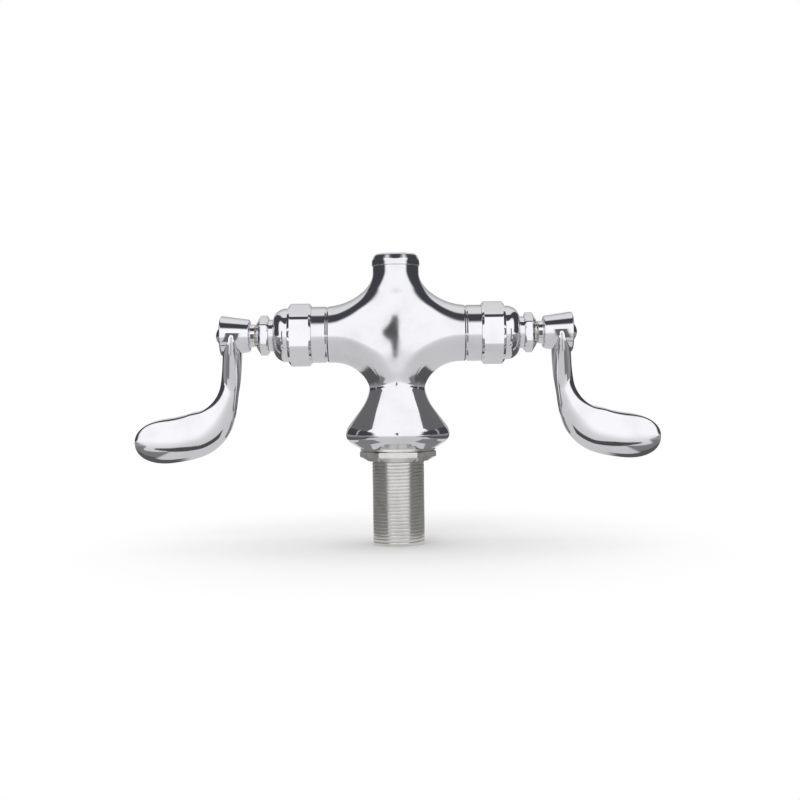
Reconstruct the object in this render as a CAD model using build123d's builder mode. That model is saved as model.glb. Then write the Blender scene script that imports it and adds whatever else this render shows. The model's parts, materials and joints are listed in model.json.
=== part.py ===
from build123d import *
from math import acos, cos, degrees, radians, sin, sqrt, tan
import os

os.makedirs("parts", exist_ok=True)

# A single-hole mixing tap for a deck: a cross-shaped casting on a bell foot, a threaded shank with
# its lock nut below, and a screw-down valve in each arm, turned by a wrist-blade handle.
# Millimetres. The deck is at z = 0, the column stands on the Z axis, the arms lie along X and the
# front looks towards -Y. Each valve piece is drawn on the right and mirrored to the left.

# Clearances
fit = 0.05  # between pieces that are screwed or pressed together
running = 0.05  # round a piece that turns or slides
seal = 0.02  # round a piece that packing grips

# Column and bell foot
arm_axis_z = 73.0
neck_top_z = 124.0
neck_radius = 14.8
collar_lip = 0.6
collar_height = 7.6
collar_chamfer = 1.0
waist_radius = 17.4
waist_curve = 30.0
skirt_angle = 37.0
brow_curve = 9.2
foot_radius = 33.2
foot_rim_z = 8.7
rim_curve = 6.2
under_angle = 58.0

# Arms
arm_radius = 18.0
arm_swell = 3.0
arm_end_x = 54.0
arm_straight = 8.0  # beyond the swell, up to the arm's end
upper_blend = 24.3
lower_blend = 16.0

# Waterways in the casting
outlet_thread_radius = 9.6
outlet_thread_depth = 14.0
outlet_step = 1.1  # from the thread down to the bore below it
outlet_floor = 12.0  # above the arms' axis
mouth_chamfer = 0.8
supply_spacing = 13.0
port_radius = 4.6
port_depth = 11.0
riser_radius = 3.5
web = 6.0  # the metal that parts hot from cold
inlet_radius = 6.0
mix_radius = 3.6
mix_angle = 24.0
mix_start = 8.0  # above the arms' axis, where the passage leaves the valve chamber
mix_inset = 2.0  # from the bonnet's end

# Shank, lock nut and deck seal
shank_radius = 16.6
shank_wall = 3.1
shank_length = 62.0
shank_socket = 18.0
shank_chamfer = 1.5
hollow_depth = 3.0  # above the shank's upper end
gasket_inset = 1.7  # the foot's metal on each side of the gasket
gasket_thickness = 1.6
washer_thickness = 1.5
washer_radius = 24.0
washer_slack = 0.25
nut_across_flats = 43.0
nut_height = 6.8
nut_face_width = 2.9  # the flat ring left round the thread on the nut's lower face
nut_chamfer_angle = 28.0

# Seat, valve chamber and bonnet thread
seat_length = 9.0
seat_radius = 8.0
seat_bore = 5.0
seat_lip = 1.2  # the flange's height over the thread
seat_flange = 1.0
seat_crown = 1.0
chamber_radius = 11.5
chamber_slack = 2.25  # between the open carriage's flange and the bonnet
bonnet_thread_radius = 13.5
bonnet_thread_length = 16.0
bonnet_seal_width = 2.2
bonnet_seal_thickness = 1.2

# Bonnet
bonnet_across_flats = 36.6
bonnet_hex_length = 15.0
hex_chamfer_angle = 30.0
dome_radius = 17.2
dome_straight = 1.3
dome_curve = 8.8
nose_length = 2.8
nose_step = 0.75  # from the nose down to its thread
nose_thread_radius = 9.4
nose_thread_length = 5.4

# Carriage, its rubber washer and the washer's screw
carriage_across_flats = 14.0
carriage_length = 18.0
carriage_flange_radius = 8.8
carriage_flange = 4.0
carriage_floor = 7.0
cup_depth = 1.8
cup_wall = 1.0
disc_thickness = 3.0
valve_screw_radius = 1.6
valve_screw_length = 4.4
valve_screw_head_radius = 3.2
valve_screw_head = 2.0
valve_lift = 2.75

# Spindle
lead_screw_radius = 4.95
spindle_radius = 4.75
spindle_end_gap = 0.5
spindle_collar_gap = 0.5  # from the collar to the flats of the bonnet's hexagon bore
spindle_collar = 2.6
thrust_thickness = 1.0
drive_square = 6.7
handle_screw_radius = 1.9
handle_screw_grip = 9.0

# Packing and gland
packing_radius = 7.0
packing_length = 6.0
packing_depth = 10.0
follower_flange = 1.1
follower_inset = 0.8  # from the neck's thread in to the flange's rim
gland_across_flats = 23.0
gland_cone_length = 3.0
gland_nose_radius = 8.0
gland_floor = 1.4

# Handle hub, its screw and its cap
handle_gap = 0.7
boss_radius = 7.2
boss_length = 3.6
hub_root_radius = 10.3
hub_rim_radius = 13.0
hub_length = 18.7
hub_chamfer = 0.8
hub_web = 2.0
handle_screw_head_radius = 4.0
handle_screw_head = 3.0
handle_screw_headroom = 1.7  # between the screw's head and the cap's plug
slot_width = 1.2
slot_depth = 1.2
cap_lip = 0.35  # the rim's height over the plug
cap_rim = 0.8
cap_crown = 2.5
cap_plug_radius = 5.3
cap_plug_length = 4.6

# Handle arm and blade: the middle line's points are measured from the arm's root on the axis
arm_setback = 7.6  # from the hub's outer face
arm_width = 12.4
arm_thickness = 10.6
arm_lean = 2.6
arm_drop = 34.0
elbow_out = 13.4
elbow_drop = 56.4
blade_out = 40.4
blade_drop = 66.2
tip_out = 64.4
tip_drop = 68.4
blade_width = 28.1
blade_thickness = 8.6
widening_start = 33.0  # lengths along the middle line
widening_end = 73.0
tip_length = 24.5

# Sizes that follow from the ones above
skirt_turn = 1 - cos(radians(skirt_angle))
skirt_length = (foot_radius - waist_radius - (waist_curve + brow_curve) * skirt_turn) / sin(radians(skirt_angle))
skirt_drop = (waist_curve + brow_curve) * sin(radians(skirt_angle)) + skirt_length * cos(radians(skirt_angle))
waist_z = foot_rim_z + skirt_drop
rim_turn = 1 - cos(radians(under_angle))
rim_drop = rim_curve * sin(radians(under_angle))
foot_base_radius = foot_radius - rim_curve * rim_turn - (foot_rim_z - rim_drop) * tan(radians(under_angle))

arm_swell_end_x = arm_end_x - arm_straight
collar_z = neck_top_z - collar_height
upper_blend_room = collar_z - arm_axis_z - arm_radius - arm_swell / 4
outlet_bore = outlet_thread_radius - outlet_step
shank_bore = shank_radius - shank_wall
hollow_height = shank_socket + hollow_depth
gasket_inner = shank_radius + gasket_inset
gasket_outer = foot_base_radius - gasket_inset
nut_face_radius = shank_radius + nut_face_width

thread_start_x = arm_end_x - bonnet_thread_length
gasket_start_x = arm_end_x - bonnet_seal_thickness
bonnet_seal_radius = bonnet_thread_radius + bonnet_seal_width
disc_end_x = thread_start_x - chamber_slack - valve_lift - carriage_flange
seat_x = disc_end_x - disc_thickness
seat_start_x = seat_x - seat_length
seat_wall_x = seat_x - seat_crown - seat_flange
seat_flange_radius = seat_radius + seat_lip

nose_radius = nose_thread_radius + nose_step
dome_turn = acos(1 - (dome_radius - nose_radius) / dome_curve)
hex_end_x = arm_end_x + bonnet_hex_length
dome_end_x = hex_end_x + dome_straight + dome_curve * sin(dome_turn)
nose_end_x = dome_end_x + nose_length
nose_thread_end_x = nose_end_x + nose_thread_length
packing_start_x = nose_thread_end_x - packing_depth
packing_end_x = packing_start_x + packing_length
follower_flange_radius = nose_thread_radius - follower_inset
gland_floor_x = nose_thread_end_x + follower_flange
gland_end_x = gland_floor_x + gland_floor
gland_cone_x = gland_end_x - gland_cone_length

carriage_end_x = disc_end_x + carriage_length
lead_screw_x = disc_end_x + carriage_floor + valve_lift + spindle_end_gap
collar_start_x = carriage_end_x + valve_lift + spindle_end_gap
collar_end_x = collar_start_x + spindle_collar
thrust_end_x = collar_end_x + thrust_thickness
spindle_collar_radius = carriage_across_flats / 2 - spindle_collar_gap

hub_start_x = gland_end_x + handle_gap
cone_start_x = hub_start_x + boss_length
hub_end_x = cone_start_x + hub_length
cap_radius = cap_plug_radius + cap_lip
cap_plug_x = hub_end_x - cap_plug_length
screw_seat_x = cap_plug_x - handle_screw_headroom - handle_screw_head
drive_end_x = screw_seat_x - hub_web
arm_x = hub_end_x - arm_setback

valve_axis = Axis((0, 0, arm_axis_z), (1, 0, 0))
valve_plane = Plane(origin=(0, 0, arm_axis_z), x_dir=(1, 0, 0), z_dir=(0, -1, 0))


def across_arm(x):
    """The plane square to the right arm at a distance from the column's axis."""
    return Plane(origin=(x, 0, arm_axis_z), x_dir=(0, 1, 0), z_dir=(1, 0, 0))


def turn_valve(*outline, mode=Mode.ADD):
    """Turn a half outline of (distance from the column, radius) points about the arms' axis."""
    with BuildSketch(valve_plane) as half:
        with BuildLine():
            Polyline(*outline, close=True)
        make_face()
    revolve(half.sketch, axis=valve_axis, mode=mode)


def turn_column(*outline, mode=Mode.ADD):
    """Turn a half outline of (radius, height) points about the column's axis."""
    with BuildSketch(Plane.XZ) as half:
        with BuildLine():
            Polyline(*outline, close=True)
        make_face()
    revolve(half.sketch, axis=Axis.Z, mode=mode)


def chamfer_hexagon(face_x, inward, across_flats):
    """Cut back a hexagon's corners towards one of its faces on the arms' axis."""
    outer = across_flats / sqrt(3) + 1
    depth = (outer - across_flats / 2) * tan(radians(hex_chamfer_angle))
    turn_valve(
        (face_x, across_flats / 2), (face_x, outer), (face_x + inward * depth, outer), mode=Mode.SUBTRACT
    )


def cut_slot(x, head_radius):
    """Cut a screwdriver slot, from a screw head's face into the head."""
    with BuildSketch(across_arm(x)) as slot:
        Rectangle(slot_width, 2 * head_radius + 1)
    extrude(slot.sketch, amount=slot_depth, both=True, mode=Mode.SUBTRACT)


def arm_waterway():
    """The space bored out of the right arm: inlet, seat, valve chamber, bonnet thread, mixing passage."""
    mix_x = thread_start_x - mix_inset
    slope = radians(mix_angle)
    mix_plane = Plane(
        origin=(mix_x, 0, arm_axis_z + mix_start), x_dir=(0, 1, 0), z_dir=(-cos(slope), 0, sin(slope))
    )
    with BuildPart() as space:
        turn_valve(
            (web / 2, 0),
            (web / 2, inlet_radius),
            (seat_start_x, inlet_radius),
            (seat_start_x, seat_radius + fit),
            (seat_wall_x, seat_radius + fit),
            (seat_wall_x, chamber_radius),
            (thread_start_x, chamber_radius),
            (thread_start_x, bonnet_thread_radius),
            (gasket_start_x, bonnet_thread_radius),
            (gasket_start_x, bonnet_seal_radius),
            (arm_end_x, bonnet_seal_radius),
            (arm_end_x, 0),
        )
        with BuildSketch(mix_plane):
            Circle(mix_radius)
        extrude(amount=(mix_x - outlet_bore / 2) / cos(slope))
        with BuildSketch(Plane.XY.offset(hollow_height)):
            with Locations((supply_spacing / 2, 0)):
                Circle(port_radius)
        extrude(amount=port_depth)
        with BuildSketch(Plane.XY.offset(hollow_height)):
            with Locations((supply_spacing / 2, 0)):
                Circle(riser_radius)
        extrude(amount=arm_axis_z - hollow_height)
    return space


def cast_body():
    """The casting: foot, column and arms, run together with wide fillets and then bored out."""
    waterway = arm_waterway()
    with BuildPart() as casting:
        with BuildSketch(Plane.XZ):
            with BuildLine():
                waist = JernArc((waist_radius, waist_z), (0, -1), waist_curve, skirt_angle)
                skirt = Line(waist @ 1, waist @ 1 + (waist % 1) * skirt_length)
                brow = JernArc(skirt @ 1, skirt % 1, brow_curve, -skirt_angle)
                rim = JernArc(brow @ 1, brow % 1, rim_curve, -under_angle)
                Polyline(
                    rim @ 1,
                    (foot_base_radius, 0),
                    (0, 0),
                    (0, neck_top_z),
                    (neck_radius + collar_lip, neck_top_z),
                    (neck_radius + collar_lip, collar_z),
                    (neck_radius, collar_z),
                    (neck_radius, arm_axis_z + arm_radius / 4),
                    (waist_radius, arm_axis_z - arm_radius / 4),
                    (waist_radius, waist_z),
                )
            make_face()
        revolve(axis=Axis.Z)
        chamfer(casting.edges().filter_by(GeomType.CIRCLE).group_by(Axis.Z)[-1], collar_chamfer)

        # the arms' seam lies at the back, clear of the curves that the fillets run along
        with BuildSketch(Plane.XY.offset(arm_axis_z)):
            with BuildLine():
                crown = (0, arm_radius + arm_swell)
                start = (-arm_swell_end_x, arm_radius)
                stop = (arm_swell_end_x, arm_radius)
                Spline(start, crown, stop, tangents=((1, 0), (1, 0)))
                Polyline(stop, (arm_end_x, arm_radius), (arm_end_x, 0), (-arm_end_x, 0), (-arm_end_x, arm_radius), start)
            make_face()
        revolve(axis=valve_axis)
        joins = casting.edges().filter_by(GeomType.BSPLINE)
        fillet(joins.filter_by(lambda e: e.center().Z > arm_axis_z + arm_radius / 2), min(upper_blend, upper_blend_room))
        joins = casting.edges().filter_by(GeomType.BSPLINE)
        fillet(joins.filter_by(lambda e: e.center().Z < arm_axis_z - arm_radius / 2), lower_blend)

        # the outlet up the neck, with a thread for the spout at its mouth
        turn_column(
            (0, arm_axis_z + outlet_floor),
            (outlet_bore, arm_axis_z + outlet_floor),
            (outlet_bore, neck_top_z - outlet_thread_depth),
            (outlet_thread_radius, neck_top_z - outlet_thread_depth),
            (outlet_thread_radius, neck_top_z - mouth_chamfer),
            (outlet_thread_radius + mouth_chamfer, neck_top_z),
            (0, neck_top_z),
            mode=Mode.SUBTRACT,
        )
        # the socket for the shank, with the hollow above it that the supply hoses reach
        turn_column(
            (0, 0),
            (shank_radius + fit, 0),
            (shank_radius + fit, shank_socket),
            (shank_bore, shank_socket),
            (shank_bore, hollow_height),
            (0, hollow_height),
            mode=Mode.SUBTRACT,
        )
        # the groove for the deck gasket
        turn_column(
            (gasket_inner - fit, 0),
            (gasket_outer + fit, 0),
            (gasket_outer + fit, gasket_thickness),
            (gasket_inner - fit, gasket_thickness),
            mode=Mode.SUBTRACT,
        )
        add(waterway.part, mode=Mode.SUBTRACT)
        mirror(waterway.part, about=Plane.YZ, mode=Mode.SUBTRACT)
    return casting


def shank():
    """The hollow threaded shank that passes through the deck, screwed up into the foot."""
    with BuildPart() as tube:
        turn_column(
            (shank_bore, shank_socket),
            (shank_radius, shank_socket),
            (shank_radius, shank_chamfer - shank_length),
            (shank_radius - shank_chamfer, -shank_length),
            (shank_bore, -shank_length),
        )
    return tube


def deck_gasket():
    """The flat rubber ring let into the underside of the foot."""
    with BuildPart() as ring:
        turn_column(
            (gasket_inner, 0),
            (gasket_outer, 0),
            (gasket_outer, gasket_thickness),
            (gasket_inner, gasket_thickness),
        )
    return ring


def clamp_washer():
    """The loose metal washer that the lock nut presses against the deck."""
    bore = shank_radius + washer_slack
    with BuildPart() as washer:
        turn_column((bore, -washer_thickness), (washer_radius, -washer_thickness), (washer_radius, 0), (bore, 0))
    return washer


def lock_nut():
    """The hexagon nut on the shank, with its lower corners turned back to a cone."""
    face_z = -washer_thickness - nut_height
    outer = nut_across_flats / sqrt(3) + 1
    cone = (outer - nut_face_radius) * tan(radians(nut_chamfer_angle))
    with BuildPart() as nut:
        with BuildSketch(Plane.XY.offset(face_z)):
            RegularPolygon(nut_across_flats / 2, 6, major_radius=False)
            Circle(shank_radius + running, mode=Mode.SUBTRACT)
        extrude(amount=nut_height)
        turn_column((nut_face_radius, face_z), (outer, face_z), (outer, face_z + cone), mode=Mode.SUBTRACT)
    return nut


def seat():
    """The renewable seat, screwed into the wall between the supply and the valve chamber."""
    with BuildPart() as ring:
        turn_valve(
            (seat_start_x, seat_bore),
            (seat_start_x, seat_radius),
            (seat_wall_x, seat_radius),
            (seat_wall_x, seat_flange_radius),
            (seat_wall_x + seat_flange, seat_flange_radius),
            (seat_wall_x + seat_flange, seat_bore + 2 * seat_crown),
            (seat_x, seat_bore + seat_crown),
            (seat_x, seat_bore),
        )
    return ring


def bonnet_gasket():
    """The fibre ring pinched between the end of the arm and the bonnet's hexagon."""
    with BuildPart() as ring:
        turn_valve(
            (gasket_start_x, bonnet_thread_radius + fit),
            (gasket_start_x, bonnet_seal_radius - fit),
            (arm_end_x, bonnet_seal_radius - fit),
            (arm_end_x, bonnet_thread_radius + fit),
        )
    return ring


def bonnet():
    """The valve's housing: thread, hexagon, domed shoulder, and a neck that holds the packing."""
    with BuildPart() as housing:
        with BuildSketch(across_arm(arm_end_x)):
            RegularPolygon(bonnet_across_flats / 2, 6, major_radius=False, rotation=30)
        extrude(amount=bonnet_hex_length)
        chamfer_hexagon(arm_end_x, 1, bonnet_across_flats)
        chamfer_hexagon(hex_end_x, -1, bonnet_across_flats)
        with BuildSketch(valve_plane):
            with BuildLine():
                side = Line((hex_end_x - 1, dome_radius), (hex_end_x + dome_straight, dome_radius))
                shoulder = JernArc(side @ 1, (1, 0), dome_curve, -degrees(dome_turn))
                Polyline(
                    shoulder @ 1,
                    (nose_end_x, nose_radius),
                    (nose_end_x, nose_thread_radius),
                    (nose_thread_end_x, nose_thread_radius),
                    (nose_thread_end_x, 0),
                    (hex_end_x - 1, 0),
                    side @ 0,
                )
            make_face()
        revolve(axis=valve_axis)
        turn_valve(
            (thread_start_x, 0),
            (thread_start_x, bonnet_thread_radius - fit),
            (arm_end_x + 1, bonnet_thread_radius - fit),
            (arm_end_x + 1, 0),
        )
        # the hexagon bore that keeps the carriage from turning
        with BuildSketch(across_arm(thread_start_x)):
            RegularPolygon(carriage_across_flats / 2 + running, 6, major_radius=False)
        extrude(amount=thrust_end_x - thread_start_x, mode=Mode.SUBTRACT)
        turn_valve(
            (thrust_end_x - 1, 0),
            (thrust_end_x - 1, spindle_radius + running),
            (packing_start_x, spindle_radius + running),
            (packing_start_x, packing_radius),
            (nose_thread_end_x, packing_radius),
            (nose_thread_end_x, 0),
            mode=Mode.SUBTRACT,
        )
    return housing


def packing():
    """The soft ring that seals the spindle."""
    with BuildPart() as ring:
        turn_valve(
            (packing_start_x, spindle_radius + seal),
            (packing_start_x, packing_radius - seal),
            (packing_end_x, packing_radius - seal),
            (packing_end_x, spindle_radius + seal),
        )
    return ring


def gland_follower():
    """The flanged brass ring that the gland nut pushes against the packing."""
    with BuildPart() as ring:
        turn_valve(
            (packing_end_x, spindle_radius + running),
            (packing_end_x, packing_radius - fit),
            (nose_thread_end_x, packing_radius - fit),
            (nose_thread_end_x, follower_flange_radius),
            (gland_floor_x, follower_flange_radius),
            (gland_floor_x, spindle_radius + running),
        )
    return ring


def gland_nut():
    """The small hexagon nut on the bonnet's neck, with a coned outer end."""
    corner = gland_across_flats / sqrt(3)
    with BuildPart() as nut:
        with BuildSketch(across_arm(nose_end_x)):
            RegularPolygon(gland_across_flats / 2, 6, major_radius=False, rotation=30)
        extrude(amount=gland_end_x - nose_end_x)
        chamfer_hexagon(nose_end_x, 1, gland_across_flats)
        turn_valve(
            (gland_cone_x, corner),
            (gland_end_x, gland_nose_radius),
            (gland_end_x, corner + 1),
            (gland_cone_x, corner + 1),
            mode=Mode.SUBTRACT,
        )
        turn_valve(
            (nose_end_x, 0),
            (nose_end_x, nose_thread_radius + fit),
            (gland_floor_x, nose_thread_radius + fit),
            (gland_floor_x, spindle_radius + 2 * running),
            (gland_end_x, spindle_radius + 2 * running),
            (gland_end_x, 0),
            mode=Mode.SUBTRACT,
        )
    return nut


def carriage():
    """The hexagon slide that the spindle's screw draws off the seat, with a cup for its washer."""
    with BuildPart() as slide:
        turn_valve(
            (disc_end_x, 0),
            (disc_end_x, carriage_flange_radius - cup_wall),
            (disc_end_x - cup_depth, carriage_flange_radius - cup_wall),
            (disc_end_x - cup_depth, carriage_flange_radius),
            (disc_end_x + carriage_flange, carriage_flange_radius),
            (disc_end_x + carriage_flange, 0),
        )
        with BuildSketch(across_arm(disc_end_x)):
            RegularPolygon(carriage_across_flats / 2, 6, major_radius=False)
        extrude(amount=carriage_length)
        turn_valve(
            (disc_end_x + carriage_floor, 0),
            (disc_end_x + carriage_floor, lead_screw_radius + running),
            (carriage_end_x, lead_screw_radius + running),
            (carriage_end_x, 0),
            mode=Mode.SUBTRACT,
        )
        turn_valve(
            (disc_end_x, 0),
            (disc_end_x, valve_screw_radius + fit),
            (disc_end_x + carriage_floor, valve_screw_radius + fit),
            (disc_end_x + carriage_floor, 0),
            mode=Mode.SUBTRACT,
        )
    return slide


def seat_washer():
    """The rubber disc in the carriage's cup that shuts on the seat."""
    with BuildPart() as disc:
        turn_valve(
            (seat_x, valve_screw_radius + fit),
            (seat_x, carriage_flange_radius - cup_wall - fit),
            (disc_end_x, carriage_flange_radius - cup_wall - fit),
            (disc_end_x, valve_screw_radius + fit),
        )
    return disc


def washer_screw():
    """The slotted screw that holds the rubber disc, its head lying inside the seat's bore."""
    head_x = seat_x - valve_screw_head
    with BuildPart() as screw:
        turn_valve(
            (head_x, 0),
            (head_x, valve_screw_head_radius),
            (seat_x, valve_screw_head_radius),
            (seat_x, valve_screw_radius),
            (disc_end_x + valve_screw_length, valve_screw_radius),
            (disc_end_x + valve_screw_length, 0),
        )
        cut_slot(head_x, valve_screw_head_radius)
    return screw


def spindle():
    """The turning stem: lead screw, thrust collar, sealed journal and a square for the handle."""
    with BuildPart() as stem:
        turn_valve(
            (lead_screw_x, 0),
            (lead_screw_x, lead_screw_radius),
            (collar_start_x, lead_screw_radius),
            (collar_start_x, spindle_collar_radius),
            (collar_end_x, spindle_collar_radius),
            (collar_end_x, spindle_radius),
            (hub_start_x, spindle_radius),
            (hub_start_x, 0),
        )
        with BuildSketch(across_arm(hub_start_x)):
            Rectangle(drive_square, drive_square)
        extrude(amount=drive_end_x - hub_start_x - 2 * fit)
        turn_valve(
            (drive_end_x - handle_screw_grip - 1, 0),
            (drive_end_x - handle_screw_grip, handle_screw_radius + fit),
            (drive_end_x, handle_screw_radius + fit),
            (drive_end_x, 0),
            mode=Mode.SUBTRACT,
        )
    return stem


def thrust_washer():
    """The slippery ring between the spindle's collar and the bonnet."""
    with BuildPart() as ring:
        turn_valve(
            (collar_end_x, spindle_radius + running),
            (collar_end_x, spindle_collar_radius),
            (thrust_end_x - fit, spindle_collar_radius),
            (thrust_end_x - fit, spindle_radius + running),
        )
    return ring


def blade_grip():
    """The arm and blade of the handle: one loft of oval sections along a bent middle line."""
    with BuildLine(Plane.XZ) as middle:
        Spline(
            (arm_x, arm_axis_z),
            (arm_x + arm_lean, arm_axis_z - arm_drop),
            (arm_x + elbow_out, arm_axis_z - elbow_drop),
            (arm_x + blade_out, arm_axis_z - blade_drop),
            (arm_x + tip_out, arm_axis_z - tip_drop),
            tangents=((arm_lean, -arm_drop), (tip_out - blade_out, blade_drop - tip_drop)),
        )
    line = middle.edge()
    tip_start = line.length - tip_length
    stations = [tip_start * share for share in (0, 0.16, 0.32, 0.45, 0.54, 0.63, 0.72, 0.81, 0.9, 1)]
    stations += [tip_start + tip_length * sin(radians(angle)) for angle in (20, 38, 54, 68, 79, 86)]
    with BuildPart() as grip:
        for station in stations:
            share = min(max((station - widening_start) / (widening_end - widening_start), 0), 1)
            widened = share * share * (3 - 2 * share)
            closing = sqrt(1 - max(station - tip_start, 0) ** 2 / tip_length**2)
            width = (arm_width + (blade_width - arm_width) * widened) * closing
            thickness = (arm_thickness + (blade_thickness - arm_thickness) * widened) * closing
            along = line.tangent_at(station, position_mode=PositionMode.LENGTH)
            here = line.position_at(station, position_mode=PositionMode.LENGTH)
            with BuildSketch(Plane(origin=here, x_dir=(-along.Z, 0, along.X), z_dir=along)):
                Ellipse(width / 2, thickness / 2)
        loft()
    return grip


def handle():
    """The wrist-blade handle: a coned hub on the spindle's square, with the grip running out of it."""
    grip = blade_grip()
    with BuildPart() as lever:
        turn_valve(
            (hub_start_x, 0),
            (hub_start_x, boss_radius),
            (cone_start_x, boss_radius),
            (cone_start_x, hub_root_radius),
            (hub_end_x, hub_rim_radius),
            (hub_end_x, 0),
        )
        chamfer(lever.edges().filter_by(GeomType.CIRCLE).group_by(Axis.X)[-1], hub_chamfer)
        add(grip.part)
        with BuildSketch(across_arm(hub_start_x)):
            Rectangle(drive_square + 2 * fit, drive_square + 2 * fit)
        extrude(amount=drive_end_x - hub_start_x, mode=Mode.SUBTRACT)
        turn_valve(
            (drive_end_x, 0),
            (drive_end_x, handle_screw_radius + fit),
            (screw_seat_x, handle_screw_radius + fit),
            (screw_seat_x, cap_plug_radius + fit),
            (hub_end_x, cap_plug_radius + fit),
            (hub_end_x, 0),
            mode=Mode.SUBTRACT,
        )
    return lever


def handle_screw():
    """The slotted screw under the cap that draws the handle on to the spindle."""
    head_end_x = screw_seat_x + handle_screw_head
    with BuildPart() as screw:
        turn_valve(
            (drive_end_x - handle_screw_grip, 0),
            (drive_end_x - handle_screw_grip, handle_screw_radius),
            (screw_seat_x, handle_screw_radius),
            (screw_seat_x, handle_screw_head_radius),
            (head_end_x, handle_screw_head_radius),
            (head_end_x, 0),
        )
        cut_slot(head_end_x, handle_screw_head_radius)
    return screw


def index_cap():
    """The domed cap pressed into the hub's outer face."""
    rim_x = hub_end_x + cap_rim
    crown_curve = (cap_radius**2 + cap_crown**2) / (2 * cap_crown)
    with BuildPart() as cap:
        with BuildSketch(valve_plane):
            with BuildLine():
                crown = RadiusArc((rim_x, cap_radius), (rim_x + cap_crown, 0), crown_curve)
                Polyline(
                    crown @ 1,
                    (cap_plug_x, 0),
                    (cap_plug_x, cap_plug_radius),
                    (hub_end_x, cap_plug_radius),
                    (hub_end_x, cap_radius),
                    (rim_x, cap_radius),
                )
            make_face()
        revolve(axis=valve_axis)
    return cap


def finish(piece, label):
    piece.part.label = label
    export_step(piece.part, f"parts/{label}.step")


single_pieces = {
    "body": cast_body,
    "shank": shank,
    "deck_gasket": deck_gasket,
    "clamp_washer": clamp_washer,
    "lock_nut": lock_nut,
}
paired_pieces = {
    "seat": seat,
    "bonnet_gasket": bonnet_gasket,
    "bonnet": bonnet,
    "packing": packing,
    "gland_follower": gland_follower,
    "gland_nut": gland_nut,
    "carriage": carriage,
    "seat_washer": seat_washer,
    "washer_screw": washer_screw,
    "spindle": spindle,
    "thrust_washer": thrust_washer,
    "handle": handle,
    "handle_screw": handle_screw,
    "index_cap": index_cap,
}

for label, build in single_pieces.items():
    finish(build(), label)

for label, build in paired_pieces.items():
    right = build()
    with BuildPart() as left:
        mirror(right.part, about=Plane.YZ)
    finish(right, f"right_{label}")
    finish(left, f"left_{label}")
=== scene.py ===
# %% [markdown]
# # A deck mixer tap in polished chrome
#
# The tap stands on its threaded shank. A bell foot carries a column with two arms, and each arm
# ends in a screw-down valve with a wrist-blade lever. The CAD model is the fixed frame of this
# scene: its pieces keep their places. This lesson gives them their finishes, remakes the casting
# and the levers with the flowing blends of a foundry and a forge, rounds the hexagons, cuts the
# threads, and lights it all as a studio would.

import json
from math import acos, asin, atan, cos, degrees, pi, radians, sin, sqrt, tan

import bmesh
import bpy
import numpy as np
from mathutils import Matrix, Vector


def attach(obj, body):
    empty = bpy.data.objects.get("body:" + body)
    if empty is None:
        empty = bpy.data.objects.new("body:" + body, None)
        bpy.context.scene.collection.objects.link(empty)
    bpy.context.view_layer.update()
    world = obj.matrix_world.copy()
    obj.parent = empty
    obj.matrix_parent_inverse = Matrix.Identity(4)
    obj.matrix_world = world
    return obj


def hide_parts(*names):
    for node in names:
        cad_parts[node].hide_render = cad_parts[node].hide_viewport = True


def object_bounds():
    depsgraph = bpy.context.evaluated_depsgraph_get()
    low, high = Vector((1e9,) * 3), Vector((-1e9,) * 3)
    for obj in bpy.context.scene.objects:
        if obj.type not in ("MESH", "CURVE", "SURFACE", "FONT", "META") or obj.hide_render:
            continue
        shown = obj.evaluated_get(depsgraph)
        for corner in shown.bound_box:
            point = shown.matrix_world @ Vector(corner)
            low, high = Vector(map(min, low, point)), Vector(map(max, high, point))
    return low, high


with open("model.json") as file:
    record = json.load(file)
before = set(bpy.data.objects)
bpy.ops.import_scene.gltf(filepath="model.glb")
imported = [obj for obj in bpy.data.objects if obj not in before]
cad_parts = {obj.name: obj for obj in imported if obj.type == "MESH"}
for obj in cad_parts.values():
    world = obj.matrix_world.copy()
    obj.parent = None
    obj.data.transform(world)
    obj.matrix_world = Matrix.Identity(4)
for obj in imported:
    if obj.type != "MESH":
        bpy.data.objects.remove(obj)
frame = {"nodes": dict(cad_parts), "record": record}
cad_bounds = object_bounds()
scene = bpy.context.scene
scene.view_settings.view_transform = "Standard"

# %% [markdown]
# ## The camera first
#
# The photograph was taken square to the front, from a little above the foot and about three
# quarters of a metre away. A camera could be turned by hand until it fits. A place, a point to
# look at, a width of view and a slight roll say the same in numbers that can be checked.

# %% The camera
EYE = (0.0017, -0.775, 0.043)  # metres
AIM = (0.0017, 0, 0.0305)
VIEW_WIDTH = 0.5144  # metres that the picture shows across, at the tap
ROLL = -0.75  # degrees


def looking(place, aim):
    """The matrix of a camera or lamp that stands at place and looks at aim."""
    sight = Vector(aim) - Vector(place)
    return Matrix.Translation(place) @ sight.to_track_quat("-Z", "Y").to_matrix().to_4x4()


lens = bpy.data.cameras.new("photo_camera")
lens.angle = 2 * atan(VIEW_WIDTH / 2 / (Vector(AIM) - Vector(EYE)).length)
lens.clip_start = 0.01
camera = bpy.data.objects.new("photo_camera", lens)
scene.collection.objects.link(camera)
camera.matrix_world = looking(EYE, AIM) @ Matrix.Rotation(radians(ROLL), 4, "Z")
scene.camera = camera
print("view angle", round(degrees(lens.angle), 1), "degrees")

# %% [markdown]
# ## Sums that become nodes
#
# A finish that varies over a surface is a sum of noises, masks and ramps. Wired by hand it is a
# long list of links. A small class that wraps one socket lets it be written as a sum: each
# operator adds the Math node that works it out.

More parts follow.
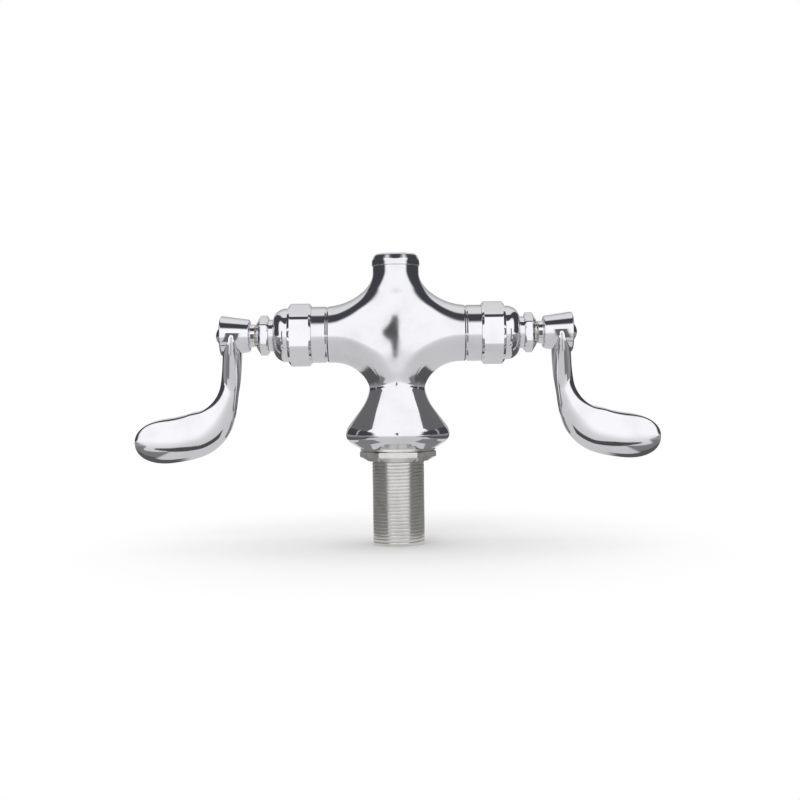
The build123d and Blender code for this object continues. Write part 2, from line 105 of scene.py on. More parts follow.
# %% A wire: one socket that takes part in sums
class Wire:
    """One output socket in a shader tree. Arithmetic on it adds Math nodes."""

    def __init__(self, tree, socket=None):
        self.tree = tree
        self.socket = socket

    def feed(self, node, inputs):
        """Feeds a node's sockets: numbers and colours straight, wires by links."""
        for name, value in inputs.items():
            if isinstance(value, Wire):
                self.tree.links.new(value.socket, node.inputs[name])
            else:
                node.inputs[name].default_value = value

    def node(self, kind, settings=None, inputs=None, out=0):
        """Adds a node, sets it up, feeds it, and returns one of its outputs."""
        made = self.tree.nodes.new(kind)
        for name, value in (settings or {}).items():
            if name == "stops":
                elements = made.color_ramp.elements
                elements.remove(elements[1])
                elements[0].position, elements[0].color = value[0][0], grey(value[0][1])
                for place, level in value[1:]:
                    elements.new(place).color = grey(level)
            else:
                setattr(made, name, value)
        self.feed(made, inputs or {})
        return Wire(self.tree, made.outputs[out]) if len(made.outputs) else made

    def math(self, operation, *values):
        """The outcome of a Math node on wires and numbers."""
        return self.node("ShaderNodeMath", {"operation": operation}, dict(enumerate(values)))

    def part(self, axis):
        """One part of a vector, "X", "Y" or "Z"."""
        return self.node("ShaderNodeSeparateXYZ", None, {0: self}, "XYZ".index(axis))

    def smooth(self, low, high):
        """0 below low, 1 above high and a smooth step between them."""
        inputs = {"Value": self, "From Min": low, "From Max": high}
        return self.node("ShaderNodeMapRange", {"interpolation_type": "SMOOTHSTEP"}, inputs)

    def ramp(self, stops):
        """The level between the stops on either side of this wire's value."""
        return self.node("ShaderNodeValToRGB", {"stops": stops}, {0: self})

    def mix(self, first, second):
        """The first colour where this wire is 0, the second where it is 1."""
        return self.node("ShaderNodeMix", {"data_type": "RGBA"}, {0: self, 6: first, 7: second}, 2)

    def noise(self, scale, detail, roughness=0.5):
        """Noise over this place, with about scale patches to the metre."""
        inputs = {"Vector": self, "Scale": scale, "Detail": detail, "Roughness": roughness}
        return self.node("ShaderNodeTexNoise", None, inputs)

    def bump(self, strength, distance):
        """The normal of a surface with this wire as its height."""
        inputs = {"Strength": strength, "Distance": distance, "Height": self}
        return self.node("ShaderNodeBump", None, inputs)

    def cover(self):
        """Makes this shader the one that the material's surface shows."""
        self.tree.links.new(self.socket, self.tree.nodes["Material Output"].inputs["Surface"])

    def __add__(self, other):
        return self.math("ADD", self, other)

    def __sub__(self, other):
        return self.math("SUBTRACT", self, other)

    def __rsub__(self, other):
        return self.math("SUBTRACT", other, self)

    def __mul__(self, other):
        return self.math("MULTIPLY", self, other)

    __radd__ = __add__
    __rmul__ = __mul__


def grey(level):
    """A neutral colour."""
    return (level, level, level, 1)


def start_material(name):
    """A new material, a wire to build on, and its Principled shader."""
    material = bpy.data.materials.new(name)
    material.use_nodes = True
    tree = material.node_tree
    return material, Wire(tree), tree.nodes["Principled BSDF"]


print("Wire, grey and start_material are ready")

# %% [markdown]
# ## Chrome
#
# Chrome plate has hardly a colour of its own. What the eye reads as chrome is the room in it, so
# the finish is nearly all in the roughness. A polished casting keeps a faint waviness from the
# buffing wheel and a haze that comes and goes, and the turned and forged trim is a little smoother.
# Noises in the piece's own space need no picture: two as wide as a thumb, one as fine as sand.

# %% The chrome finishes
def buffed_chrome(name, tone, rough, haze, wave):
    """Bright plate. haze varies its roughness and wave bends the reflections."""
    material, wire, shader = start_material(name)
    place = wire.node("ShaderNodeTexCoord", out="Object")
    veil = place.noise(scale=55.0, detail=3.0, roughness=0.55).smooth(0.42, 0.75)
    swell = place.noise(scale=38.0, detail=1.0)
    grain = place.noise(scale=900.0, detail=2.0) * 0.02
    dull = tuple(0.93 * share for share in tone[:3]) + (1,)
    wire.feed(shader, {
        "Base Color": veil.mix(tone, dull),
        "Metallic": 1.0,
        "Roughness": rough + veil * haze + grain,
        "Normal": (swell + grain).bump(wave, 0.001),
    })
    return material


finishes = {
    "chrome_casting": buffed_chrome("casting_chrome", (0.80, 0.80, 0.83, 1), 0.07, haze=0.06, wave=0.04),
    "chrome_trim": buffed_chrome("trim_chrome", (0.82, 0.82, 0.85, 1), 0.05, haze=0.04, wave=0.03),
}
print(*finishes, "are ready")

# %% [markdown]
# ## The finishes that nobody polishes
#
# The shank, its nut and washer are plated as they come from the lathe, duller than the body. The
# brass, rubber, fibre and polymer in the valves hardly show, but should look right when the tap
# is taken apart. One function serves them all: two close tones and a noise between them.

# %% Dull plate, brass, rubber, fibre and polymer
def plain_finish(name, light, dark, metallic, rough, spread, scale, wave):
    """Two close tones, a roughness from rough to rough + spread, and a grain of the given scale."""
    material, wire, shader = start_material(name)
    grain = wire.node("ShaderNodeTexCoord", out="Object").noise(scale, detail=5.0, roughness=0.6)
    tone = grain.smooth(0.35, 0.7)
    wire.feed(shader, {
        "Base Color": tone.mix(light, dark),
        "Metallic": metallic,
        "Roughness": rough + tone * spread,
        "Normal": grain.bump(wave, 0.0005),
    })
    return material


finishes["plated_shank"] = plain_finish(
    "shank_plate", light=(0.76, 0.75, 0.73, 1), dark=(0.67, 0.66, 0.63, 1),
    metallic=1.0, rough=0.17, spread=0.08, scale=90.0, wave=0.02,
)
finishes["bare_brass"] = plain_finish(
    "brass", light=(0.80, 0.60, 0.30, 1), dark=(0.66, 0.46, 0.21, 1),
    metallic=1.0, rough=0.22, spread=0.15, scale=320.0, wave=0.08,
)
finishes["black_rubber"] = plain_finish(
    "rubber", light=(0.035, 0.035, 0.035, 1), dark=(0.02, 0.02, 0.02, 1),
    metallic=0.0, rough=0.6, spread=0.15, scale=500.0, wave=0.2,
)
finishes["red_fibre"] = plain_finish(
    "fibre", light=(0.38, 0.09, 0.05, 1), dark=(0.26, 0.05, 0.03, 1),
    metallic=0.0, rough=0.75, spread=0.1, scale=700.0, wave=0.3,
)
finishes["white_polymer"] = plain_finish(
    "polymer", light=(0.86, 0.86, 0.83, 1), dark=(0.80, 0.80, 0.76, 1),
    metallic=0.0, rough=0.35, spread=0.1, scale=300.0, wave=0.05,
)
for part in frame["record"]["subparts"]:
    data = frame["nodes"][part["node"]].data
    data.materials.clear()
    data.materials.append(finishes[part["material_slot"]])
print(len(finishes), "finishes on", len(frame["nodes"]), "pieces")

# %% [markdown]
# ## Turned surfaces
#
# Most of the tap is turned on a lathe: a profile spun round an axis. The Screw modifier spins a
# curve, but a profile with a small radius at each corner, swept in numpy, also gives corners that
# catch the light and rings whose points can be welded to the casting's.

# %% A profile with rounded corners, and two axes to spin it round
MM = 0.001  # the tap's own sizes are in millimetres, and meshes in metres
ARM_Z = 73.0  # height of the arms' axis
RING = 96  # points round every turned piece
TURNS = np.arange(RING) * 2 * pi / RING + pi / 4
IN_LINE = 1.57  # half the angle at a corner whose runs are nearly in line


def rounded(profile, steps=4):
    """Replaces each corner (a, b, radius) of a profile by a small arc."""
    points = []
    for k, corner in enumerate(profile):
        here = np.array(corner[:2], float)
        radius = corner[2] if len(corner) > 2 else 0
        if radius == 0 or k in (0, len(profile) - 1):
            points.append(here)
            continue
        before = np.array(profile[k - 1][:2], float) - here
        after = np.array(profile[k + 1][:2], float) - here
        before /= np.linalg.norm(before)
        after /= np.linalg.norm(after)
        half = acos(np.clip(before @ after, -1, 1)) / 2
        if half > IN_LINE:
            points.append(here)
            continue
        reach = radius / tan(half)
        centre = here + (before + after) / np.linalg.norm(before + after) * radius / sin(half)
        start, stop = here + before * reach - centre, here + after * reach - centre
        spread = acos(np.clip(start @ stop / radius**2, -1, 1))
        for step in range(steps + 1):
            share = step / steps
            arm = (start * sin((1 - share) * spread) + stop * sin(share * spread)) / sin(spread)
            points.append(centre + arm)
    return points


def along_z(place, out, turn):
    """Points round the column's axis, at a height and a radius."""
    return (out * np.cos(turn), out * np.sin(turn), place + 0 * turn)


def along_x(place, out, turn):
    """Points round the arms' axis, at a distance from the column and a radius."""
    return (place + 0 * turn, out * np.cos(turn), ARM_Z + out * np.sin(turn))


print(RING, "points a ring")

# %% [markdown]
# ## One mesh out of many sweeps
#
# A casting has no seams between its turned ends and its middle, so its sweeps must end up as one
# skin. Joining objects and merging them by distance would do. A class that gathers points and
# faces does it in one place, and there each finished piece also says what it rides on.

# %% A shape that gathers sweeps
SHARP = radians(40)  # an edge that turns more than this stays crisp
SLIVER = 1e-7  # metres


def soft_least(first, second, soft=0.3):
    """The lesser of two radii, eased where they are nearly the same."""
    return (first + second - np.sqrt((first - second) ** 2 + soft**2) + soft * 0.02) / 2


class Shape:
    """Points in millimetres and faces, gathered piece by piece and welded into one mesh."""

    def __init__(self):
        self.points = []
        self.faces = []

    def grid(self, rows, closed=False):
        """Adds rows of equally many points, with a face between each four."""
        start = len(self.points)
        width = len(rows[0])
        for row in rows:
            self.points.extend(np.asarray(row, float))
        for k in range(len(rows) - 1):
            for j in range(width if closed else width - 1):
                a, b = start + k * width + j, start + k * width + (j + 1) % width
                self.faces.append((a, b, b + width, a + width))

    def turn(self, profile, axis=along_z, turns=TURNS, limit=None):
        """Sweeps a profile of (place along the axis, radius) round it. A radius of 0 closes it."""
        rows = []
        for place, radius in profile:
            out = radius if limit is None else soft_least(radius, limit)
            rows.append(np.stack(axis(place, out, turns), 1))
        self.grid(rows, closed=True)

    def thread(self, low, high, low_radius, high_radius, outline, pitch):
        """Winds an outline of (share of the pitch, radius) from low to high, between plain rings."""
        around = np.append(TURNS, TURNS[0])
        rows = []
        for k in range(int((high - low) / pitch) + 2):
            for share, radius in outline:
                places = low + (k + share) * pitch + np.linspace(-pitch, 0, RING + 1)
                above = np.where(places >= high, high_radius, radius)
                out = np.where(places <= low, low_radius, above)
                rows.append(np.stack(along_z(np.clip(places, low, high), out, around), 1))
        self.grid(rows)

    def mirrored(self):
        """The same shape on the other side of the column."""
        twin = Shape()
        twin.points = [p * (-1, 1, 1) for p in self.points]
        twin.faces = [face[::-1] for face in self.faces]
        return twin

    def build(self, name, body, slot, nodes, weld=0.002):
        """Welds the points, makes the object in metres, says what it rides on and hides the pieces it
        replaces.
        """
        mesh = bmesh.new()
        corners = [mesh.verts.new(p * MM) for p in self.points]
        for face in self.faces:
            mesh.faces.new([corners[k] for k in face])
        bmesh.ops.remove_doubles(mesh, verts=mesh.verts, dist=weld * MM)
        bmesh.ops.dissolve_degenerate(mesh, edges=mesh.edges, dist=SLIVER)
        bmesh.ops.recalc_face_normals(mesh, faces=mesh.faces)
        data = bpy.data.meshes.new(name)
        mesh.to_mesh(data)
        mesh.free()
        data.shade_smooth()
        data.set_sharp_from_angle(angle=SHARP)
        data.materials.append(finishes[slot])
        piece = bpy.data.objects.new(name, data)
        scene.collection.objects.link(piece)
        piece.modifiers.new("even_normals", "WEIGHTED_NORMAL").keep_sharp = True
        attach(piece, body)
        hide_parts(*nodes)
        print(name, len(data.vertices), "points,", len(data.polygons), "faces")
        return piece


def build_both(right, name, body, node):
    """Builds a trim piece and its twin. A {} in the body's name stands for the side."""
    for side, shape in (("right", right), ("left", right.mirrored())):
        shape.build(f"{side}_{name}", body.format(side), "chrome_trim", [f"{side}_{node}"])


print("Shape and build_both are ready")

# %% [markdown]
# ## The casting
#
# Foot, column and arms are one casting, and its arms run into the column in long blends with no
# edge at all. Metaballs would blend it but can't be held to a size. Here a formula says for any
# point how far it lies outside the casting: seen from the front the outline is two strips with
# elliptic corners, and how deep a point lies inside that outline gives a round section.

# %% The casting's formula
ARM_RADIUS, ARM_END = 18.0, 54.0
NECK_RADIUS, WAIST_RADIUS = 14.8, 17.4
SWELL, SWELL_REACH = 3.8, 44.0  # the arms are this much taller at the column, fading out by there
LOWER_SWELL = 0.45  # the share of that swell on the arms' underside
UPPER_BLEND = (31.5, 18.3)  # along the arm and up the neck
LOWER_BLEND = (22.9, 18.6)  # along the arm and down the waist
UPPER_START, LOWER_START = 16, 8  # above and below the axis, where the section starts to narrow
NARROWING = (15, 39)  # along the arm, where that narrowing fades out
FOOT_RADIUS, RIM_Z, RIM_CURVE = 33.195, 8.7, 6.2
SKIRT, WAIST_CURVE, BROW_CURVE = radians(37), 30.0, 9.2
UNDER = radians(58)  # how far the rim curls under the foot
FRONT_BULGE = 0.08  # the share by which the front stands out where arms and column meet
BULGE_WIDE, BULGE_TALL, BULGE_END = 22, 24, 34

skirt_turn = 1 - cos(SKIRT)
skirt_length = (FOOT_RADIUS - WAIST_RADIUS - (WAIST_CURVE + BROW_CURVE) * skirt_turn) / sin(SKIRT)
waist_z = RIM_Z + (WAIST_CURVE + BROW_CURVE) * sin(SKIRT) + skirt_length * cos(SKIRT)
blend_foot = ARM_Z - ARM_RADIUS - LOWER_BLEND[1]


def ease(value, low, high):
    """0 below low, 1 above high and a smooth step between them, for arrays."""
    share = np.clip((value - low) / (high - low), 0, 1)
    return share * share * (3 - 2 * share)


def column_radius(z):
    """The radius of the waist and of the skirt's upper curve at a height."""
    below = np.clip(waist_z - z, 0, WAIST_CURVE * sin(SKIRT))
    return WAIST_RADIUS + WAIST_CURVE - np.sqrt(WAIST_CURVE**2 - below**2)


def inside_corner(out, up, wide, tall):
    """How deep a point lies inside the edge of two strips that meet in an elliptic blend."""
    across = np.maximum(1 - out / wide, 0)
    along = np.maximum(1 - up / tall, 0)
    reach = np.maximum(np.hypot(across, along), 1e-6)
    slope = np.maximum(np.hypot(across / wide, along / tall) / reach, 1e-6)
    return np.where(up >= tall, -out, np.where(out >= wide, -up, (reach - 1) / slope))


def outside(points):
    """How far points lie outside the casting, in millimetres, and negative within."""
    x, y, up = np.abs(points[:, 0]), points[:, 1], points[:, 2] - ARM_Z
    waist = column_radius(points[:, 2])
    swell = SWELL / 2 * (1 + np.cos(pi * np.clip(x / SWELL_REACH, 0, 1)))
    above = inside_corner(x - NECK_RADIUS, up - ARM_RADIUS - swell, *UPPER_BLEND)
    below = inside_corner(x - waist, -up - ARM_RADIUS - LOWER_SWELL * swell, *LOWER_BLEND)
    near = 1 - ease(x, *NARROWING)
    neck_share = ease(up, UPPER_START, ARM_RADIUS + UPPER_BLEND[1]) * near
    waist_share = ease(-up, LOWER_START, ARM_RADIUS + LOWER_BLEND[1]) * near
    upper_radius = ARM_RADIUS - (ARM_RADIUS - NECK_RADIUS) * neck_share
    lower_radius = ARM_RADIUS - (ARM_RADIUS - waist) * waist_share
    radius = np.where(up < 0, lower_radius, upper_radius)
    bulge = FRONT_BULGE * np.exp(-((x / BULGE_WIDE) ** 2) - (up / BULGE_TALL) ** 2)
    bulge *= 1 - ease(np.abs(up), BULGE_TALL, BULGE_END)
    flank = np.maximum(radius - np.minimum(above, below), 0)
    cross = np.sqrt((y / (1 + bulge)) ** 2 + flank**2) - radius
    turned = np.hypot(x, y) - waist
    share = ease(points[:, 2], blend_foot - 2, blend_foot + 6)
    return turned * (1 - share) + cross * share


print("waist at", round(waist_z, 1), "mm")

# %% [markdown]
# ## A skin over the formula
#
# A voxel mesh of the formula would have steps that chrome shows at once. A cross of quads is laid
# round column and arms instead: square panels in front and behind, and four tubes that leave a
# cube and turn round on their way out. Round by round its points are evened out between their
# neighbours and pulled on to the formula's surface.

# %% The cross of quads
CUBE = 16.0  # half the cube at the crossing
SIDE = RING // 4
ARM_JOIN = 42.6  # where the cross ends and the turned end of the arm begins
TOP_Z, BOTTOM_Z = 113.0, 34.0
ARM_ROWS, COLUMN_ROWS = 24, 18
ROUND_EARLY = 1.6  # a tube is round by the time it has gone one part in this


def tube_rings(reach, end_radius, rows):
    """Rings that start as the cube's side and turn round on their way out."""
    turns = np.arange(RING) * 2 * pi / RING - 3 * pi / 4
    side = np.repeat([(0, -1), (1, 0), (0, 1), (-1, 0)], SIDE, 0)
    step = np.tile(np.linspace(-1, 1, SIDE, endpoint=False), 4)[:, None]
    square = CUBE * (side + step * np.stack([-side[:, 1], side[:, 0]], 1))
    circle = end_radius * np.stack([np.cos(turns), np.sin(turns)], 1)
    for share in np.linspace(0, 1, rows):
        rounding = min(1, ROUND_EARLY * share)
        yield CUBE + (reach - CUBE) * share, square * (1 - rounding) + circle * rounding


def lay_cross():
    """The cross as a Shape, with its open ends already true circles."""
    shape = Shape()
    for sign in (1, -1):
        arm = [np.stack([np.full(RING, sign * d), s[:, 0], ARM_Z + s[:, 1]], 1)
               for d, s in tube_rings(ARM_JOIN, ARM_RADIUS, ARM_ROWS)]
        shape.grid(arm, closed=True)
    neck_end = (1, TOP_Z - ARM_Z, NECK_RADIUS)
    waist_end = (-1, ARM_Z - BOTTOM_Z, column_radius(BOTTOM_Z))
    for sign, reach, radius in (neck_end, waist_end):
        column = [np.stack([s[:, 0], s[:, 1], np.full(RING, ARM_Z + sign * d)], 1)
                  for d, s in tube_rings(reach, radius, COLUMN_ROWS)]
        shape.grid(column, closed=True)
    steps = np.linspace(-CUBE, CUBE, SIDE + 1)
    for y in (-CUBE, CUBE):
        shape.grid([[(x, y, ARM_Z + z) for x in steps] for z in steps])
    return shape


cross = lay_cross()
print("cross of", len(cross.faces), "quads")

# %% [markdown]
# The cross's open ends must stay where the turned ends will meet them: neck and waist keep their
# points, and the arms' last rings stay in their plane. They are handed on in order round the arm.

# %% The cross settles on the casting
ROUNDS, PULLS = 60, 3
EVENING = 0.6  # the share of the way to the middle of its neighbours that a point goes
NUDGE = 0.02  # the step that the formula's slope is measured over
LEAST_SLOPE = 0.05
HAIR = 0.01


def settle(shape):
    """Welds the cross, evens its points out and pulls them on to the casting."""
    keys, home = np.unique(np.round(np.array(shape.points), 4), axis=0, return_inverse=True)
    faces = home.reshape(-1)[np.array(shape.faces)]
    pairs = [faces[:, [k, (k + 1) % 4]] for k in range(4)]
    edges = np.unique(np.sort(np.concatenate(pairs), 1), axis=0)
    count = np.bincount(edges.ravel(), minlength=len(keys))[:, None]
    points = keys.astype(float)
    arm_ring = np.abs(points[:, 0]) > ARM_JOIN - HAIR
    fixed = (points[:, 2] > TOP_Z - HAIR) | (points[:, 2] < BOTTOM_Z + HAIR)
    for step in range(ROUNDS):
        total = np.zeros_like(points)
        np.add.at(total, edges[:, 0], points[edges[:, 1]])
        np.add.at(total, edges[:, 1], points[edges[:, 0]])
        moved = points + EVENING * (total / count - points)
        moved[arm_ring] = points[arm_ring]
        for pull in range(PULLS):
            off = outside(moved)
            rises = [outside(moved + nudge) - outside(moved - nudge) for nudge in np.eye(3) * NUDGE]
            slope = np.stack(rises, 1) / (2 * NUDGE)
            slope[arm_ring, 0] = 0
            moved -= slope * (off / np.maximum((slope**2).sum(1), LEAST_SLOPE))[:, None]
        points = np.where(fixed[:, None], points, moved)
    settled = Shape()
    settled.points = list(points)
    settled.faces = [tuple(int(k) for k in face) for face in faces]
    worst = float(np.abs(outside(points[~fixed])).max())
    print(len(points), "points, off the casting by", round(worst, 4), "mm at most")
    rings = {}
    for sign in (1, -1):
        ring = points[arm_ring & (points[:, 0] * sign > 0)]
        rings[sign] = ring[np.argsort(np.arctan2(ring[:, 2] - ARM_Z, ring[:, 1]))]
    return settled, rings


body, arm_rings = settle(cross)

# %% [markdown]
# ## The casting's turned ends
#
# The neck's collar and bore and the bell foot are turned, so their rings are swept with as many
# points as the cross and welded to its open ends. The neck is threaded inside for the spout, and
# the foot's underside has the groove for its gasket and the socket for the shank.

# %% Neck and bell foot
COLLAR_Z, NECK_TOP, COLLAR_RADIUS = 116.4, 124.0, NECK_RADIUS + 0.6
THREAD_BORE, OUTLET_BORE, MOUTH = 9.6, 8.5, 0.8
OUTLET_DEPTH, OUTLET_FLOOR = 14.0, 12.0  # below the neck's top, and above the arms' axis
OUTLET_PITCH = 25.4 / 14
GROOVE_OUTER, GROOVE_INNER, GROOVE_TOP = 23.1, 18.3, 1.6  # the gasket's
SOCKET_RADIUS, SOCKET_TOP = 16.65, 21.0  # the shank's

body.turn(rounded([
    (TOP_Z, NECK_RADIUS), (COLLAR_Z, NECK_RADIUS, 0.25), (COLLAR_Z, COLLAR_RADIUS, 0.25),
    (NECK_TOP - 4.4, COLLAR_RADIUS, 4.0), (NECK_TOP - 1.0, COLLAR_RADIUS - 1.6, 1.2),
    (NECK_TOP, COLLAR_RADIUS - 2.9, 0.7), (NECK_TOP, THREAD_BORE + MOUTH, 0.25),
    (NECK_TOP - MOUTH, THREAD_BORE),
]))
crest, root = THREAD_BORE - 0.2, THREAD_BORE + 0.5
outlet_low, outlet_floor = NECK_TOP - OUTLET_DEPTH, ARM_Z + OUTLET_FLOOR
outlet_outline = [(0.0, crest), (0.16, crest), (0.5, root), (0.66, root)]
body.thread(outlet_low, NECK_TOP - MOUTH, THREAD_BORE, THREAD_BORE, outlet_outline, OUTLET_PITCH)
body.turn([
    (outlet_low, THREAD_BORE), (outlet_low, OUTLET_BORE), (outlet_floor, OUTLET_BORE), (outlet_floor, 0),
])


def arc(centre_z, centre_radius, radius, first, last, steps):
    """Points of an arc of the foot's profile. The angle is 0 outwards and 90 up."""
    turns = np.radians(np.linspace(first, last, steps + 1))
    return [(centre_z + radius * np.sin(t), centre_radius + radius * np.cos(t)) for t in turns]


def between(first, last, steps):
    """The points that divide a straight run into equal steps."""
    (a, b), (c, d) = first, last
    return [(a + (c - a) * k / steps, b + (d - b) * k / steps) for k in range(1, steps)]


skirt = degrees(SKIRT)
waist_start = degrees(asin((waist_z - BOTTOM_Z) / WAIST_CURVE))
waist_centre = WAIST_RADIUS + WAIST_CURVE
waist_arc = arc(waist_z, waist_centre, WAIST_CURVE, 180 + waist_start, 180 + skirt, 6)
brow_arc = arc(RIM_Z, FOOT_RADIUS - BROW_CURVE, BROW_CURVE, skirt, 0, 10)
rim_arc = arc(RIM_Z, FOOT_RADIUS - RIM_CURVE, RIM_CURVE, 0, -degrees(UNDER), 8)
rim_low, rim_out = rim_arc[-1]
underside = rounded([
    rim_arc[-1], (0, rim_out - rim_low * tan(UNDER), 0.3),
    (0, GROOVE_OUTER, 0.2), (GROOVE_TOP, GROOVE_OUTER, 0.1),
    (GROOVE_TOP, GROOVE_INNER, 0.1), (0, GROOVE_INNER, 0.2),
    (0, SOCKET_RADIUS, 0.2), (SOCKET_TOP, SOCKET_RADIUS), (SOCKET_TOP, 0),
])
body.turn(waist_arc + between(waist_arc[-1], brow_arc[0], 8) + brow_arc + rim_arc[1:] + underside[1:])
print("foot", round(2 * FOOT_RADIUS, 1), "mm across")

# %% [markdown]
# The arms' ends are turned too, with a shallow groove where the buffing stops. Their first rings
# take the settled cross's own points, which are not quite a circle, and run out to true circles
# in a few millimetres. The bore takes the bonnet's thread.

# %% The arms' ends, and the finished casting
GROOVE_X, GROOVE_HALF, GROOVE_DEPTH = ARM_JOIN + 1.6, 1.1, 0.75
TRUE_BY = ARM_JOIN + 5  # where the rings have become true circles
ARM_BORE, ARM_BORE_DEPTH = 13.6, 9

arm_end = rounded([
    (ARM_JOIN, ARM_RADIUS), (GROOVE_X - GROOVE_HALF, ARM_RADIUS, 0.5),
    (GROOVE_X, ARM_RADIUS - GROOVE_DEPTH, 0.5), (GROOVE_X + GROOVE_HALF, ARM_RADIUS, 0.5),
    (ARM_JOIN + 5.5, ARM_RADIUS), (ARM_END, ARM_RADIUS, 0.3), (ARM_END, ARM_BORE),
    (ARM_END - ARM_BORE_DEPTH, ARM_BORE), (ARM_END - ARM_BORE_DEPTH, 0),
])
for sign, ring in arm_rings.items():
    aside, up = ring[:, 1], ring[:, 2] - ARM_Z
    own = np.hypot(aside, up)
    rows = []
    for place, radius in arm_end:
        reach = radius
        if radius > ARM_BORE:
            reach = radius + (own - ARM_RADIUS) * (1 - ease(place, ARM_JOIN, TRUE_BY))
        x, y, z = np.full(RING, sign * place), aside / own * reach, ARM_Z + up / own * reach
        rows.append(np.stack([x, y, z], 1))
    body.grid(rows, closed=True)
body.build("body_casting", "tap_body", "chrome_casting", ["body"], weld=0.02)

# %% [markdown]
# ## Bonnets and gland nuts
#
# Each bonnet is turned from hexagon bar, and so is the small gland nut outside it. The polishing
# wheel softens every corner, and the dark line of the room then runs on across the hexagon's
# edges. A bevel modifier would round straight edges only. A turned profile that is held inside a
# hexagon with rounded corners also gets the curved chamfers where its cone meets the flats.

# %% A hexagon with rounded corners, and the bonnets
HEX_FLATS, HEX_END, HEX_ROUNDING = 36.6, 69.0, 6.0
HEX_CHAMFER = 1.75  # how far the turned chamfers reach along the hexagon
SPIGOT_RADIUS, SPIGOT_LENGTH = 13.4, 8
FACE_GAP = 0.03  # between the hexagon and the arm's end
DOME_RADIUS, DOME_STRAIGHT, DOME_CURVE = 17.2, 1.3, 8.8
NOSE_RADIUS, NOSE_LENGTH = 10.15, 2.8
NOSE_THREAD, NOSE_THREAD_LENGTH = 9.4, 5.4
SPINDLE_BORE, BORE_DEPTH = 4.85, 8
dome_turn = acos(1 - (DOME_RADIUS - NOSE_RADIUS) / DOME_CURVE)
dome_start = HEX_END + DOME_STRAIGHT
dome_end = dome_start + DOME_CURVE * sin(dome_turn)
nose_end = dome_end + NOSE_LENGTH
thread_end = nose_end + NOSE_THREAD_LENGTH


def hexagon(across_flats, rounding, side_steps=6, corner_steps=7):
    """The turns round a rounded hexagon with a flat at turn 0, and how far it reaches at each."""
    flat = across_flats / 2
    centre = (flat - rounding) / cos(pi / 6)
    meet = atan((flat - rounding) * tan(pi / 6) / flat)
    turns, reach = [], []
    for side in range(6):
        for turn in np.linspace(-meet, meet, side_steps):
            turns.append(side * pi / 3 + turn)
            reach.append(flat / cos(turn))
        for swing in np.radians(np.linspace(-30, 30, corner_steps + 2)[1:-1]):
            x, y = centre + rounding * cos(swing), rounding * sin(swing)
            turns.append(side * pi / 3 + pi / 6 + atan(y / x))
            reach.append(sqrt(x * x + y * y))
    return np.array(turns), np.array(reach)


turns, reach = hexagon(HEX_FLATS, HEX_ROUNDING)
corner = reach.max() + 0.3
face, face_radius = ARM_END + FACE_GAP, HEX_FLATS / 2 - 0.2
bar = rounded([
    (ARM_END - SPIGOT_LENGTH, 0), (ARM_END - SPIGOT_LENGTH, SPIGOT_RADIUS, 0.3),
    (face, SPIGOT_RADIUS, 0.1), (face, face_radius, 0.3),
    (ARM_END + HEX_CHAMFER, corner, 1.2), (HEX_END - HEX_CHAMFER, corner, 1.2),
    (HEX_END, face_radius, 0.4), (HEX_END, DOME_RADIUS, 0.3), (dome_start, DOME_RADIUS),
], steps=6)
dome = [(dome_start + DOME_CURVE * sin(t), DOME_RADIUS - DOME_CURVE * (1 - cos(t)))
        for t in np.linspace(0, dome_turn, 14)]
nose = rounded([
    dome[-1], (dome_end + 0.3, NOSE_RADIUS, 0.3), (nose_end, NOSE_RADIUS, 0.3),
    (nose_end, NOSE_THREAD), (thread_end, NOSE_THREAD, 0.3), (thread_end, SPINDLE_BORE, 0.2),
    (thread_end - BORE_DEPTH, SPINDLE_BORE), (thread_end - BORE_DEPTH, 0),
])
bonnet = Shape()
bonnet.turn(bar + dome[1:-1] + nose, along_x, turns, reach)
build_both(bonnet, "bonnet_shell", "tap_body", "bonnet")

# %% [markdown]
# The gland nut is a cup that presses the packing round the spindle, and the smallest hexagon on
# the tap. Its outer end is coned well below the flats, so it is the same sweep with a long last
# chamfer.

# %% The gland nuts
GLAND_FLATS, GLAND_ROUNDING = 23.0, 2.2
GLAND_NOSE, GLAND_CONE = 8.0, 3  # the radius of its outer face, and the cone's length
gland_floor = thread_end + 1.1
gland_end = gland_floor + 1.4
cup_radius, hole_radius, face = NOSE_THREAD + 0.05, SPINDLE_BORE + 0.02, nose_end + 0.02
turns, reach = hexagon(GLAND_FLATS, GLAND_ROUNDING)
corner = reach.max() + 0.25
gland = Shape()
gland.turn(rounded([
    (gland_floor, cup_radius), (face, cup_radius, 0.1), (face, GLAND_FLATS / 2 - 0.15, 0.25),
    (nose_end + 1.05, corner, 0.7), (gland_end - GLAND_CONE, corner, 0.7),
    (gland_end, GLAND_NOSE, 0.4), (gland_end, hole_radius, 0.2), (gland_floor, hole_radius),
    (gland_floor, cup_radius),
], steps=6), along_x, turns, reach)
build_both(gland, "gland_hexagon", "tap_body", "gland_nut")

# %% [markdown]
# ## The shank and its nut
#
# Below the deck everything is rougher. The shank is a long pipe thread with flattened crests. The
# Screw modifier winds a profile too, but leaves the ends as slanted cuts; here the outline is
# wound in numpy and held between two flat rings, so the thread runs out as it does on a lathe.

# %% The threaded shank
SHANK_RADIUS, SHANK_BORE, SHANK_LENGTH, SHANK_SOCKET = 16.6, 13.5, 62.0, 18.0
SHANK_CHAMFER = 1.5
SHANK_PITCH = 25.4 / 11.5
SHANK_DEPTH = 0.35  # from the flattened crests to the roots

